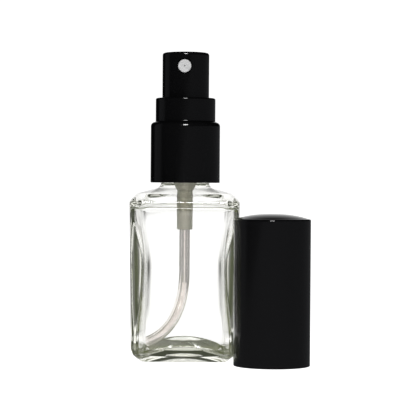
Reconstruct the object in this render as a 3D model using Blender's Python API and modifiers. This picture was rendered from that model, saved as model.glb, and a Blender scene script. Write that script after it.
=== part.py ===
"""Square glass aftershave bottle with a screw-on fine-mist pump and a tall overcap.

Frame: +Z up, the origin in the middle of the bottle's underside, the spray nozzle facing -Y.
The overcap is off and stands on its open end by the bottle's front right corner.
Sizes below are in millimetres, and MM turns them into metres where a mesh is made.
"""
import math

import bmesh
import bpy
from mathutils import Matrix, Vector

MM = 0.001
MERGE = 0.00001
GAP = 0.3                   # clearance between neighbouring pieces
WIDE_STEPS = 40             # facets round the large turned pieces
NARROW_STEPS = 24           # facets round the small turned pieces

# Glass bottle
BODY_HALF = 15.6            # half of the width across the flats, at the shoulder
BODY_TAPER = 0.6            # how much narrower that half is at the heel
BODY_CORNER = 3.4           # radius of the four upright edges
HEEL = 3.6                  # height of the two slopes round the base
HEEL_STEP = (0.65, 1.8)     # inset and height of the line between them
HEEL_INSET = 2.6            # inset of the flat underside
SIDE_TOP = 45.55            # where the shoulder's chamfer starts
CHAMFER_TOP = (13.4, 47.75)
NECK_FOOT_Z = 49.56         # where the sloping shoulder meets the neck
ROUND_NECK = 8.6            # inside this half-width the sections are circles
NECK_RADIUS = 6.95
NECK_TOP_Z = 52.2           # where the neck widens to the threaded finish
NECK_BORE = 4.9
FINISH_RADIUS = 7.7
LIP_Z = 64.4
CORNER_STEPS = 8
CAVITY_HALF = 12.1          # half of the cavity's width at its waist
CAVITY_CORNER = 3.0
CAVITY_TOP = (1.4, 28.0, 44.0)      # how much wider it gets upwards, and between which heights
CAVITY_FOOT = (0.5, 18.0, 6.0)      # the same downwards
CAVITY_LEVELS = (36.0, 32.0, 28.0, 18.0, 14.5)
CAVITY_SHOULDER_Z = 45.0
FLOOR_CREST = 6.8           # the inner floor is a dome
FLOOR_FALL = 0.0205         # how much it falls for each square millimetre from the middle

# Screw thread
PITCH = 3.175
RIDGE = 0.85
NECK_THREAD_START = 57.0
NECK_THREAD_TURNS = 1.5
CLOSURE_THREAD_TURNS = 1.25
THREAD_POINTS = 20          # points to a turn

# Closure
CLOSURE_RADIUS = 10.06
CLOSURE_BORE = 8.95
CLOSURE_BOTTOM = 50.75
COLLAR_TOP = 68.3
COLLAR_ROUND = 1.25
RING_RADIUS = 8.67
RING_BORE = 7.1
RING_TOP = 75.2
DECK_BOTTOM = 66.9
DECK_HOLE = 5.2

# Pump
FLANGE_RADIUS = 7.4
FLANGE_THICKNESS = 0.8
FLANGE_TOP = DECK_BOTTOM - GAP
BARREL_RADIUS = 4.5
BARREL_BORE = 3.2
CHAMBER_FLOOR = 54.4
CAGE_RADIUS = 2.42
CAGE_BORE = 1.6
SEAT_HOLE = 0.8
SEAT_Z = 51.0
COUNTERBORE = 3.9
COUNTERBORE_Z = 65.6
TAIL_RADIUS = 2.33
TAIL_TIP_RADIUS = 2.22
TAIL_BORE = 1.8
TAIL_BOTTOM = 37.25
TAIL_BORE_TOP = 49.2
RETAINER_RADIUS = 4.9
RETAINER_TOP = 71.0
STEM_RADIUS = 1.6
STEM_BORE = 0.7
STEM_TOP = 79.8
STEM_SHOULDER = (68.3, 69.1)
STEM_FLANGE = (61.9, 62.7)
PISTON = (63.0, 65.2)
BALL_RADIUS = 1.2
BALL_Z = 52.23

# Springs
RETURN_SPRING = dict(radius=2.35, wire=0.4, low=54.7, high=61.6, coils=5.5)
VALVE_SPRING = dict(radius=2.15, wire=0.35, low=65.5, high=68.0, coils=3.5)
COIL_POINTS = 12            # points to a coil

# Dip tube
TUBE_RADIUS = 1.5
TUBE_WALL = 0.7
TUBE_TOP = 48.9
TUBE_BEND_Z = 26.0          # where the tube starts to bend
TUBE_BEND_LENGTH = 26.0
TUBE_BEND_ANGLE = math.radians(78)
TUBE_HEADING = math.radians(210)   # towards the front left corner

# Actuator and its nozzle
ACTUATOR_RADIUS = 6.78
ACTUATOR_WALL = 1.1
ACTUATOR_BOTTOM = 72.9
ACTUATOR_TOP = 88.3
ACTUATOR_YAW = math.radians(-2.5)
DISH_DEPTH = 0.5
NOZZLE_Z = 84.2
INSERT_RADIUS = 1.95

# Overcap
CAP_RADIUS = 10.72
CAP_WALL = 0.55
CAP_HEIGHT = 42.3
CAP_CROWN = 1.4
CAP_PLACE = (24.6, -20.2)
CAP_RIBS = 6
RIB_BOTTOM = 22.0
RIB_WIDTH = 0.6


def clear_scene():
    for obj in list(bpy.data.objects):
        bpy.data.objects.remove(obj, do_unlink=True)


def new_collection(name):
    group = bpy.data.collections.new(name)
    bpy.context.scene.collection.children.link(group)
    return group


clear_scene()
PARTS = new_collection("aftershave_bottle")
CUTTERS = new_collection("cutters")


def material(name, colour, roughness, transmission=0.0):
    made = bpy.data.materials.new(name)
    made.use_nodes = True
    shader = made.node_tree.nodes["Principled BSDF"]
    shader.inputs["Base Color"].default_value = (*colour, 1.0)
    shader.inputs["Roughness"].default_value = roughness
    shader.inputs["Metallic"].default_value = 0.0
    shader.inputs["Transmission Weight"].default_value = transmission
    return made


def finish_mesh(mesh, finish):
    mesh.materials.clear()
    mesh.materials.append(finish)
    mesh.shade_smooth()
    mesh.set_sharp_from_angle(angle=math.radians(35))


def mesh_object(name, bm, finish, group=PARTS):
    """A new object from a bmesh whose points are in millimetres."""
    bmesh.ops.scale(bm, vec=(MM, MM, MM), verts=bm.verts)
    mesh = bpy.data.meshes.new(name)
    bm.to_mesh(mesh)
    bm.free()
    finish_mesh(mesh, finish)
    obj = bpy.data.objects.new(name, mesh)
    group.objects.link(obj)
    return obj


def arc(centre, radius, start, end, steps):
    """Points of an arc in the profile plane, its angles in degrees from +X."""
    points = []
    for i in range(steps + 1):
        angle = math.radians(start + (end - start) * i / steps)
        points.append((centre[0] + radius * math.cos(angle), centre[1] + radius * math.sin(angle)))
    return points


def rounded(corners, steps):
    """An open outline through (x, z, fillet) corners, with each fillet as an arc."""
    points = [corners[0][:2]]
    for before, corner, after in zip(corners, corners[1:], corners[2:]):
        here = Vector(corner[:2])
        fillet = corner[2]
        if fillet == 0.0:
            points.append(tuple(here))
            continue
        back = (Vector(before[:2]) - here).normalized()
        ahead = (Vector(after[:2]) - here).normalized()
        half = back.angle(ahead) / 2
        middle = here + (back + ahead).normalized() * (fillet / math.sin(half))
        start = here + back * (fillet / math.tan(half)) - middle
        turn = start.angle_signed(here + ahead * (fillet / math.tan(half)) - middle)
        for i in range(steps + 1):
            points.append(tuple(middle + Matrix.Rotation(-turn * i / steps, 2) @ start))
    points.append(corners[-1][:2])
    return points


def divided(points, longest, above_z):
    """The same outline with no straight stretch above above_z longer than longest, up to the neck."""
    result = [points[0]]
    for low, high in zip(points, points[1:]):
        length = math.dist(low, high)
        sloping = abs(low[0] - high[0]) > 0.5 and min(low[1], high[1]) > above_z
        pieces = math.ceil(length / longest) if sloping else 1
        for i in range(1, pieces + 1):
            share = i / pieces
            result.append((low[0] + (high[0] - low[0]) * share, low[1] + (high[1] - low[1]) * share))
    return result


def turned(name, profile, finish, steps=WIDE_STEPS, closed=True, group=PARTS):
    """A profile of (radius, z) points turned about Z; it runs down the outside and up the inside."""
    bm = bmesh.new()
    verts = [bm.verts.new((radius, 0.0, z)) for radius, z in profile]
    for low, high in zip(verts, verts[1:]):
        bm.edges.new((low, high))
    if closed:
        bm.edges.new((verts[-1], verts[0]))
    obj = mesh_object(name, bm, finish, group)
    screw = obj.modifiers.new("Turn", "SCREW")
    screw.steps = steps
    screw.render_steps = steps
    screw.use_merge_vertices = True
    screw.merge_threshold = MERGE
    screw.use_smooth_shade = True
    return obj


def tube(name, points, radius, finish, capped=True, group=PARTS):
    """A round tube along points, as a mesh object."""
    data = bpy.data.curves.new(name, "CURVE")
    data.dimensions = "3D"
    data.bevel_depth = radius * MM
    data.bevel_resolution = 2
    data.use_fill_caps = capped
    spline = data.splines.new("POLY")
    spline.points.add(len(points) - 1)
    for point, place in zip(spline.points, points):
        point.co = (place[0] * MM, place[1] * MM, place[2] * MM, 1.0)
    curve = bpy.data.objects.new(name + "_path", data)
    CUTTERS.objects.link(curve)
    return curve_to_mesh(name, curve, finish, group)


def curve_to_mesh(name, curve, finish, group):
    graph = bpy.context.evaluated_depsgraph_get()
    mesh = bpy.data.meshes.new_from_object(curve.evaluated_get(graph))
    bm = bmesh.new()
    bm.from_mesh(mesh)
    bmesh.ops.remove_doubles(bm, verts=bm.verts, dist=MERGE)
    bm.to_mesh(mesh)
    bm.free()
    finish_mesh(mesh, finish)
    obj = bpy.data.objects.new(name, mesh)
    obj.matrix_world = curve.matrix_world
    group.objects.link(obj)
    bpy.data.objects.remove(curve, do_unlink=True)
    return obj


def combine(obj, other, operation):
    """Join other to obj, or cut it away; other stays behind as a guide."""
    other.hide_render = True
    other.display_type = "WIRE"
    change = obj.modifiers.new(operation.title(), "BOOLEAN")
    change.operation = operation
    change.solver = "EXACT"
    change.object = other


def helix(radius, start_z, pitch, start_angle, turns, points_per_turn):
    count = round(turns * points_per_turn)
    points = []
    for i in range(count + 1):
        turn = i / points_per_turn
        angle = start_angle + turn * math.tau
        points.append((radius * math.cos(angle), radius * math.sin(angle), start_z + pitch * turn))
    return points


# ---------------------------------------------------------------- glass bottle

def rounded_square(half, corner):
    """Corner arcs of a square of the given half-width; corner == half makes a circle."""
    points = []
    inset = half - corner
    for quarter in range(4):
        middle = math.radians(45 + 90 * quarter)
        centre_x = inset * math.copysign(1, math.cos(middle))
        centre_y = inset * math.copysign(1, math.sin(middle))
        for i in range(CORNER_STEPS + 1):
            angle = math.radians(90 * quarter + 90 * i / CORNER_STEPS)
            points.append((centre_x + corner * math.cos(angle), centre_y + corner * math.sin(angle)))
    return points


def body_corner(half, z):
    """Radius of the upright edges at a section: square at the body, a circle at the neck."""
    if z < SIDE_TOP:
        return BODY_CORNER - 0.3 * max(BODY_HALF - BODY_TAPER - half, 0.0)
    top_half = CHAMFER_TOP[0]
    top_corner = BODY_CORNER + 0.8
    if half > top_half:
        return BODY_CORNER + 0.8 * (BODY_HALF - half) / (BODY_HALF - top_half)
    share = min((top_half - half) / (top_half - ROUND_NECK), 1.0)
    return top_corner + (half - top_corner) * share


def outer_sections():
    """(half, corner, z, fall) of the outside, from the flat underside up to the lip."""
    heel_half = BODY_HALF - BODY_TAPER
    outline = [(0.0, 0.0, 0.0), (heel_half - HEEL_INSET, 0.0, 0.3)]
    outline += [(heel_half - HEEL_STEP[0], HEEL_STEP[1], 0.9), (heel_half, HEEL, 0.9)]
    outline += [(BODY_HALF, SIDE_TOP, 1.6), (*CHAMFER_TOP, 1.8), (NECK_RADIUS, NECK_FOOT_Z, 1.8)]
    outline += [(NECK_RADIUS, NECK_TOP_Z, 0.0), (FINISH_RADIUS, NECK_TOP_Z + 1.0, 0.0)]
    outline += [(FINISH_RADIUS, LIP_Z, 0.5), (NECK_BORE, LIP_Z, 0.0)]
    points = divided(rounded(outline, 3)[1:-1], 2.5, SIDE_TOP)
    return [(half, body_corner(half, z), z, 0.0) for half, z in points]


def smooth_step(share):
    share = min(max(share, 0.0), 1.0)
    return share * share * (3.0 - 2.0 * share)


def cavity_half(z):
    """Half of the cavity's width: it is waisted, and widens towards the shoulder and the floor."""
    half = CAVITY_HALF
    for rise, start, end in (CAVITY_TOP, CAVITY_FOOT):
        half += rise * smooth_step((z - start) / (end - start))
    return half


def cavity_corner(z):
    """Radius of the cavity's upright corners, which get sharper towards the shoulder."""
    return CAVITY_CORNER - 1.2 * smooth_step((z - CAVITY_TOP[1]) / (CAVITY_TOP[2] - CAVITY_TOP[1]))


def inner_sections():
    """(half, corner, z, fall) of the cavity, from the lip down towards the floor's middle."""
    shoulder_half = cavity_half(CAVITY_SHOULDER_Z)
    wall_z = CAVITY_SHOULDER_Z - 4.0
    outline = [(FINISH_RADIUS, LIP_Z, 0.0), (NECK_BORE, LIP_Z, 0.4), (NECK_BORE, 47.2, 1.6)]
    outline += [(shoulder_half, CAVITY_SHOULDER_Z, 2.4), (cavity_half(wall_z), wall_z, 0.0)]
    points = divided(rounded(outline, 3)[1:], 2.5, 44.0)
    sections = []
    for half, z in points:
        share = max(half - NECK_BORE, 0.0) / (shoulder_half - NECK_BORE)
        corner = half + (cavity_corner(z) - half) * min(share, 1.0) ** 2
        sections.append((half, corner, z, 0.0))
    for z in CAVITY_LEVELS:
        sections.append((cavity_half(z), cavity_corner(z), z, 0.0))
    foot = cavity_half(FLOOR_CREST + 3.0)
    sections.append((foot, CAVITY_CORNER, FLOOR_CREST + 3.0, 0.4))
    edge = foot - 1.6
    for half, z in arc((edge, FLOOR_CREST + 1.6), 1.6, 0, -90, 3):
        sections.append((half, CAVITY_CORNER, z, 1.0))
    for share in (0.7, 0.4):
        half = edge * share
        corner = CAVITY_CORNER + (half - CAVITY_CORNER) * (1.0 - share)
        sections.append((half, corner, FLOOR_CREST, 1.0))
    return sections


def glass_bottle(finish):
    bm = bmesh.new()
    rings = []
    for half, corner, z, fall in outer_sections() + inner_sections():
        ring = []
        for x, y in rounded_square(half, corner):
            ring.append(bm.verts.new((x, y, z - fall * FLOOR_FALL * (x * x + y * y))))
        rings.append(ring)
    for low, high in zip(rings, rings[1:]):
        for i, vert in enumerate(low):
            after = (i + 1) % len(low)
            bm.faces.new((vert, low[after], high[after], high[i]))
    bm.faces.new(list(reversed(rings[0])))
    middle = bm.verts.new((0.0, 0.0, FLOOR_CREST))
    last = rings[-1]
    for i, vert in enumerate(last):
        bm.faces.new((vert, last[(i + 1) % len(last)], middle))
    bmesh.ops.remove_doubles(bm, verts=bm.verts, dist=0.01)
    bottle = mesh_object("glass_bottle", bm, finish)
    ridge = helix(FINISH_RADIUS, NECK_THREAD_START, PITCH, 0.0, NECK_THREAD_TURNS, THREAD_POINTS)
    combine(bottle, tube("neck_thread", ridge, RIDGE, finish, group=CUTTERS), "UNION")
    return bottle


# -------------------------------------------------------------------- closure

def closure(finish):
    """Screw collar, its deck and the narrower ring that guides the actuator."""
    profile = arc((RING_RADIUS - 0.35, RING_TOP - 0.35), 0.35, 90, 0, 3)
    profile += arc((RING_RADIUS + 0.3, COLLAR_TOP + 0.3), 0.3, 180, 270, 3)
    profile += arc((CLOSURE_RADIUS - COLLAR_ROUND, COLLAR_TOP - COLLAR_ROUND), COLLAR_ROUND, 90, 0, 4)
    profile += [(CLOSURE_RADIUS, CLOSURE_BOTTOM + 0.2), (CLOSURE_RADIUS - 0.2, CLOSURE_BOTTOM)]
    profile += [(CLOSURE_BORE, CLOSURE_BOTTOM), (CLOSURE_BORE, DECK_BOTTOM)]
    profile += [(DECK_HOLE, DECK_BOTTOM), (DECK_HOLE, COLLAR_TOP)]
    profile += [(RING_BORE, COLLAR_TOP), (RING_BORE, RING_TOP)]
    body = turned("closure", profile, finish)
    ridge = helix(CLOSURE_BORE, NECK_THREAD_START, PITCH, math.pi, CLOSURE_THREAD_TURNS, THREAD_POINTS)
    combine(body, tube("closure_thread", ridge, RIDGE, finish, group=CUTTERS), "UNION")
    return body


# ----------------------------------------------------------------------- pump

def pump_housing(finish):
    """Barrel with its seating flange, the check-ball cage and the tail that holds the dip tube."""
    flange_bottom = FLANGE_TOP - FLANGE_THICKNESS
    cone_bottom = CHAMBER_FLOOR - 1.8
    profile = [(COUNTERBORE, FLANGE_TOP), (FLANGE_RADIUS, FLANGE_TOP), (FLANGE_RADIUS, flange_bottom)]
    profile += [(BARREL_RADIUS, flange_bottom), (BARREL_RADIUS, CHAMBER_FLOOR + 0.2)]
    profile += [(CAGE_RADIUS, cone_bottom), (CAGE_RADIUS, TAIL_BORE_TOP + 0.1)]
    profile += [(TAIL_RADIUS, TAIL_BORE_TOP - 0.2), (TAIL_TIP_RADIUS, TAIL_BOTTOM)]
    profile += [(TAIL_BORE, TAIL_BOTTOM), (TAIL_BORE, TAIL_BORE_TOP), (SEAT_HOLE, TAIL_BORE_TOP)]
    profile += [(SEAT_HOLE, SEAT_Z), (CAGE_BORE, SEAT_Z + 1.2), (CAGE_BORE, CHAMBER_FLOOR)]
    profile += [(BARREL_BORE, CHAMBER_FLOOR), (BARREL_BORE, COUNTERBORE_Z), (COUNTERBORE, COUNTERBORE_Z)]
    return turned("pump_housing", profile, finish, NARROW_STEPS)


def neck_gasket(finish):
    inner = BARREL_RADIUS + GAP
    low = LIP_Z + GAP
    high = FLANGE_TOP - FLANGE_THICKNESS - GAP
    profile = [(inner, high), (FLANGE_RADIUS, high), (FLANGE_RADIUS, low), (inner, low)]
    return turned("neck_gasket", profile, finish, NARROW_STEPS)


def stem_retainer(finish):
    """Turret pressed into the housing's top, which keeps the stem and its seal in."""
    hole = STEM_RADIUS + 0.35
    bore = BARREL_BORE - GAP
    spigot = COUNTERBORE - GAP
    ledge = FLANGE_TOP + GAP
    neck = RETAINER_RADIUS - 0.8
    profile = [(hole, RETAINER_TOP), (neck - 0.3, RETAINER_TOP), (neck, RETAINER_TOP - 0.3)]
    profile += [(neck, COLLAR_TOP + 0.8), (RETAINER_RADIUS, COLLAR_TOP + 0.4)]
    profile += [(RETAINER_RADIUS, ledge), (spigot, ledge), (spigot, COUNTERBORE_Z + GAP)]
    profile += [(bore, COUNTERBORE_Z + GAP), (bore, RETAINER_TOP - 0.8), (hole, RETAINER_TOP - 0.8)]
    return turned("stem_retainer", profile, finish, NARROW_STEPS)


def stem_seal(finish):
    inner = STEM_RADIUS + 0.25
    outer = BARREL_BORE - 2 * GAP
    low = STEM_SHOULDER[1] + GAP
    high = low + 0.5
    profile = [(inner, high), (outer, high), (outer, low), (inner, low)]
    return turned("stem_seal", profile, finish, NARROW_STEPS)


def stem(finish):
    """Hollow stem: shoulder for the valve spring, seat flange for the piston, spring guide below."""
    guide = 1.3
    bore_bottom = STEM_FLANGE[1] + 0.4
    profile = [(STEM_BORE, STEM_TOP), (STEM_RADIUS - 0.2, STEM_TOP), (STEM_RADIUS, STEM_TOP - 0.2)]
    profile += [(STEM_RADIUS, STEM_SHOULDER[1]), (2.5, STEM_SHOULDER[1])]
    profile += [(2.5, STEM_SHOULDER[0]), (STEM_RADIUS, STEM_SHOULDER[0])]
    profile += [(STEM_RADIUS, STEM_FLANGE[1]), (2.4, STEM_FLANGE[1]), (2.4, STEM_FLANGE[0])]
    profile += [(guide, STEM_FLANGE[0]), (guide, STEM_FLANGE[0] - 2.4), (guide - 0.3, STEM_FLANGE[0] - 2.7)]
    profile += [(0.0, STEM_FLANGE[0] - 2.7)]
    profile = [(0.0, bore_bottom), (STEM_BORE, bore_bottom)] + profile
    body = turned("stem", profile, finish, NARROW_STEPS, closed=False)
    port = cross_cutter("stem_port", 0.4, 2 * STEM_RADIUS + 1.0, STEM_FLANGE[1] + 0.9, finish)
    combine(body, port, "DIFFERENCE")
    return body


def cross_cutter(name, radius, length, z, finish):
    """A cylinder along X through the pump's axis."""
    bm = bmesh.new()
    turn = Matrix.Translation((0.0, 0.0, z)) @ Matrix.Rotation(math.pi / 2, 4, "Y")
    bmesh.ops.create_cone(bm, cap_ends=True, segments=12, radius1=radius, radius2=radius,
                          depth=length, matrix=turn)
    return mesh_object(name, bm, finish, CUTTERS)


def piston(finish):
    """Sliding seal with a lip at each end."""
    inner = STEM_RADIUS + GAP
    outer = BARREL_BORE - GAP
    waist = outer - 0.35
    low, high = PISTON
    profile = [(inner, high), (outer - 0.2, high), (outer, high - 0.1), (waist, high - 0.8)]
    profile += [(waist, low + 0.8), (outer, low + 0.1), (outer - 0.2, low), (inner, low)]
    return turned("piston", profile, finish, NARROW_STEPS)


def check_ball(finish):
    bm = bmesh.new()
    bmesh.ops.create_uvsphere(bm, u_segments=16, v_segments=10, radius=BALL_RADIUS)
    bmesh.ops.translate(bm, verts=bm.verts, vec=(0.0, 0.0, BALL_Z))
    return mesh_object("check_ball", bm, finish)


def coil_spring(name, size, finish):
    """A compression spring whose wire ends lie inside its length."""
    wire_radius = size["wire"] / 2
    low = size["low"] + wire_radius
    rise = size["high"] - size["low"] - size["wire"]
    points = helix(size["radius"], low, rise / size["coils"], 0.0, size["coils"], COIL_POINTS)
    return tube(name, points, wire_radius, finish)


def tube_bend(steps):
    """Points of the bend, which tightens towards the tip."""
    point = Vector((0.0, 0.0, TUBE_BEND_Z))
    sideways = Vector((math.cos(TUBE_HEADING), math.sin(TUBE_HEADING), 0.0))
    points = [point.copy()]
    for i in range(steps):
        angle = TUBE_BEND_ANGLE * ((i + 0.5) / steps) ** 1.5
        step = TUBE_BEND_LENGTH / steps
        point += sideways * (step * math.sin(angle)) - Vector((0.0, 0.0, step * math.cos(angle)))
        points.append(point.copy())
    return points


def dip_tube(finish):
    """Straight down from the housing, then bent towards the bottle's front left corner."""
    points = [Vector((0.0, 0.0, TUBE_TOP))] + tube_bend(12)
    body = tube("dip_tube", points, TUBE_RADIUS, finish, capped=False)
    wall = body.modifiers.new("Wall", "SOLIDIFY")
    wall.thickness = TUBE_WALL * MM
    wall.offset = -1.0
    return body


# ------------------------------------------------------------ actuator, nozzle

def nozzle_matrix():
    """Turns a profile's +Z to face -Y, at the nozzle's height on the pump's axis."""
    return Matrix.Translation((0.0, 0.0, NOZZLE_Z * MM)) @ Matrix.Rotation(math.pi / 2, 4, "X")


def place_by_nozzle(obj, pivot):
    obj.parent = pivot
    obj.matrix_parent_inverse = Matrix.Identity(4)
    obj.matrix_local = nozzle_matrix()


def actuator(finish, pivot):
    """Finger button: a hollow skirt, a stem socket and a spray channel to the nozzle recess."""
    top, radius = ACTUATOR_TOP, ACTUATOR_RADIUS
    skirt = radius - ACTUATOR_WALL
    ceiling = top - DISH_DEPTH - 1.2
    boss, socket = 3.0, STEM_RADIUS + GAP
    boss_bottom = ACTUATOR_BOTTOM + 2.6
    profile = [(0.0, top - DISH_DEPTH), (2.0, top - 0.9 * DISH_DEPTH), (4.0, top - 0.5 * DISH_DEPTH)]
    profile += [(radius - 1.2, top)] + arc((radius - 0.7, top - 0.7), 0.7, 90, 0, 4)
    profile += [(radius, ACTUATOR_BOTTOM), (skirt, ACTUATOR_BOTTOM), (skirt, ceiling)]
    profile += [(boss, ceiling), (boss, boss_bottom), (socket, boss_bottom), (socket, STEM_TOP + 0.4)]
    profile += [(0.8, STEM_TOP + 0.4), (0.8, NOZZLE_Z - 1.0), (0.0, NOZZLE_Z - 1.0)]
    button = turned("actuator", profile, finish, WIDE_STEPS, closed=False)
    button.parent = pivot
    recess = INSERT_RADIUS + GAP
    front = radius + 0.6
    post, post_front, recess_back = 1.0, radius - 1.15, radius - 2.6
    holder = turned("nozzle_holder", [(0.0, radius - 0.6), (3.0, radius - 0.6), (3.0, 1.5), (0.0, 1.5)],
                    finish, NARROW_STEPS, closed=False, group=CUTTERS)
    pocket = turned("nozzle_pocket",
                    [(0.0, front), (recess, front), (recess, recess_back), (post, recess_back),
                     (post, post_front), (0.0, post_front)],
                    finish, NARROW_STEPS, closed=False, group=CUTTERS)
    channel = turned("spray_channel", [(0.0, radius - 2.3), (0.45, radius - 2.3), (0.45, 0.0), (0.0, 0.0)],
                     finish, 12, closed=False, group=CUTTERS)
    for guide in (holder, pocket, channel):
        place_by_nozzle(guide, pivot)
    channel.matrix_local = Matrix.Translation((0.0, 0.0, -1.55 * MM)) @ nozzle_matrix()
    combine(button, holder, "UNION")
    combine(button, pocket, "DIFFERENCE")
    combine(button, channel, "DIFFERENCE")
    return button


def nozzle_insert(finish, pivot):
    """Cup pressed over the post in the button's recess, with a fine orifice in a shallow dimple."""
    radius = INSERT_RADIUS
    front, back = ACTUATOR_RADIUS - 0.1, ACTUATOR_RADIUS - 2.2
    inner, inner_face = 1.0 + GAP, ACTUATOR_RADIUS - 0.85
    orifice, dimple = 0.17, 0.6
    profile = [(orifice, front - 0.3), (dimple, front), (radius - 0.15, front), (radius, front - 0.15)]
    profile += [(radius, back), (inner, back), (inner, inner_face), (orifice, inner_face)]
    insert = turned("nozzle_insert", profile, finish, NARROW_STEPS)
    place_by_nozzle(insert, pivot)
    return insert


# -------------------------------------------------------------------- overcap

def overcap(finish):
    """Tall cap, open below, with a crowned top and ribs inside that grip the closure's ring."""
    edge = 0.5
    rim = CAP_RADIUS - CAP_WALL
    crown_radius = CAP_RADIUS - edge
    shoulder = CAP_HEIGHT - CAP_CROWN
    profile = []
    for i in range(9):
        radius = crown_radius * i / 8
        profile.append((radius, CAP_HEIGHT - CAP_CROWN * (radius / crown_radius) ** 2.4))
    profile += arc((crown_radius, shoulder - edge), edge, 71, 0, 3)
    profile += [(CAP_RADIUS, 0.15), (CAP_RADIUS - 0.15, 0.0), (rim, 0.0)]
    profile += [(rim, shoulder - 0.6), (0.0, shoulder - 0.3)]
    cap = turned("overcap", profile, finish, WIDE_STEPS, closed=False)
    cap.location = (CAP_PLACE[0] * MM, CAP_PLACE[1] * MM, 0.0)
    grip = RING_RADIUS + 0.2
    rib_top = shoulder - 0.5
    for i in range(CAP_RIBS):
        turn = Matrix.Rotation(math.tau * (i + 0.5) / CAP_RIBS, 4, "Z")
        bm = bmesh.new()
        reach = rim + 0.25 - grip
        shape = Matrix.Diagonal((reach, RIB_WIDTH, rib_top - RIB_BOTTOM, 1.0))
        centre = Matrix.Translation((grip + reach / 2, 0.0, (RIB_BOTTOM + rib_top) / 2))
        bmesh.ops.create_cube(bm, size=1.0, matrix=turn @ centre @ shape)
        rib = mesh_object("cap_rib_%d" % (i + 1), bm, finish, CUTTERS)
        rib.location = cap.location
        combine(cap, rib, "UNION")
    return cap


# ---------------------------------------------------------------------- build

def build():
    glass = material("clear_glass", (0.86, 0.90, 0.84), 0.03, 1.0)
    black = material("gloss_black", (0.008, 0.008, 0.009), 0.12)
    cap_black = material("cap_black", (0.009, 0.009, 0.010), 0.10)
    pale = material("pale_grey_plastic", (0.62, 0.61, 0.60), 0.55)
    frosted = material("translucent_plastic", (0.55, 0.54, 0.46), 0.30, 0.6)
    clear_tube = material("tube_plastic", (0.66, 0.65, 0.58), 0.25, 0.7)
    white = material("white_plastic", (0.80, 0.80, 0.78), 0.40)
    rubber = material("grey_rubber", (0.10, 0.10, 0.10), 0.80)
    steel = material("steel", (0.60, 0.60, 0.60), 0.25)
    steel.node_tree.nodes["Principled BSDF"].inputs["Metallic"].default_value = 1.0

    glass_bottle(glass)
    closure(black)
    neck_gasket(rubber)
    pump_housing(frosted)
    stem_retainer(white)
    stem_seal(rubber)
    stem(white)
    piston(pale)
    check_ball(steel)
    coil_spring("return_spring", RETURN_SPRING, steel)
    coil_spring("valve_spring", VALVE_SPRING, steel)
    dip_tube(clear_tube)

    pivot = bpy.data.objects.new("actuator_pivot", None)
    PARTS.objects.link(pivot)
    pivot.rotation_euler = (0.0, 0.0, ACTUATOR_YAW)
    actuator(black, pivot)
    nozzle_insert(pale, pivot)
    overcap(cap_black)


build()
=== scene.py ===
"""Looks for the aftershave bottle: clear thick glass, glossy black sprayer and overcap, pale nozzle."""
import math

import bmesh
import bpy
from mathutils import Matrix, Vector
from mathutils.bvhtree import BVHTree
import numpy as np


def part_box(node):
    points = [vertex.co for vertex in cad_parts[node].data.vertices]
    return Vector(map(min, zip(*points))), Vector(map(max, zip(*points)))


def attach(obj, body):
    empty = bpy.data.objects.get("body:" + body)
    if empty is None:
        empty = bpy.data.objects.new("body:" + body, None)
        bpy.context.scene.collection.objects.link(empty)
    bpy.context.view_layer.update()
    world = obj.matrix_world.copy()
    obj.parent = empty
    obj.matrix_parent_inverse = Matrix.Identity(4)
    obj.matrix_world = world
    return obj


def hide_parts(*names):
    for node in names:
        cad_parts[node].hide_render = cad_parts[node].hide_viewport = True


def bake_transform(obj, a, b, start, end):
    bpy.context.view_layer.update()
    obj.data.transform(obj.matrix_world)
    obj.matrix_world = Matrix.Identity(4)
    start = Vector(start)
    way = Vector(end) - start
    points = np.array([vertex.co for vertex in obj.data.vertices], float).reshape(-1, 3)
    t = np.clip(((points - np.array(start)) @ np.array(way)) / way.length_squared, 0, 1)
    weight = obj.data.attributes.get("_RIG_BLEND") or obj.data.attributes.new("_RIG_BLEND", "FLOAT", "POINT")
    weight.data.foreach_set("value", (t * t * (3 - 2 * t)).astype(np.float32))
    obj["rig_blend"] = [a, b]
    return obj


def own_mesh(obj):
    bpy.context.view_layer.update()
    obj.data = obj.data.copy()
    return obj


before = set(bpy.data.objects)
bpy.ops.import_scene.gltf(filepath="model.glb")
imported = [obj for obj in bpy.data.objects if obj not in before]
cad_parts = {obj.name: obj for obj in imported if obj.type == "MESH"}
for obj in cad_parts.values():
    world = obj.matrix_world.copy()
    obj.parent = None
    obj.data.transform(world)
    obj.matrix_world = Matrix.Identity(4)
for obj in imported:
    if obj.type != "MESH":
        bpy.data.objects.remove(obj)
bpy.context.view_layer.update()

MM = 0.001
FINE = 128                  # facets round a visible turned piece
SMALL = 64                  # facets round a small turned piece
BORE_FACETS = 16            # facets round a hidden bore
TUBE_FACETS = 40
WIRE_FACETS = 12
SHARP_ANGLE = 40            # degrees between faces beyond which an edge is shaded sharp
GLASS_SHARP_ANGLE = 60
MERGE_DISTANCE = 0.002      # millimetres
FILLET_STEPS = 6
GLASS_FILLET_STEPS = 8
SUPPORT_SHARE = 0.3         # how far from a fillet its support point stands, as a share of its radius
THREAD_Z = 57.0
THREAD_PITCH = 3.175
THREAD_RIDGE = 0.85         # radius of the ridge's section
THREAD_STEPS = 40           # points to a turn
RIDGE_FACETS = 16
LIGHT_BOUNCES = 32          # a ray meets up to 16 faces of glass, liquid and tube on its way through


# ------------------------------------------------------------------ outlines

def span(node):
    """Lowest and highest corner of a CAD node, in millimetres."""
    low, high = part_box(node)
    return low / MM, high / MM


def arc(centre, radius, start, end, steps):
    """Points of an arc in the profile plane, its angles in degrees from +X."""
    points = []
    for i in range(steps + 1):
        angle = math.radians(start + (end - start) * i / steps)
        points.append((centre[0] + radius * math.cos(angle), centre[1] + radius * math.sin(angle)))
    return points


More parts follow.
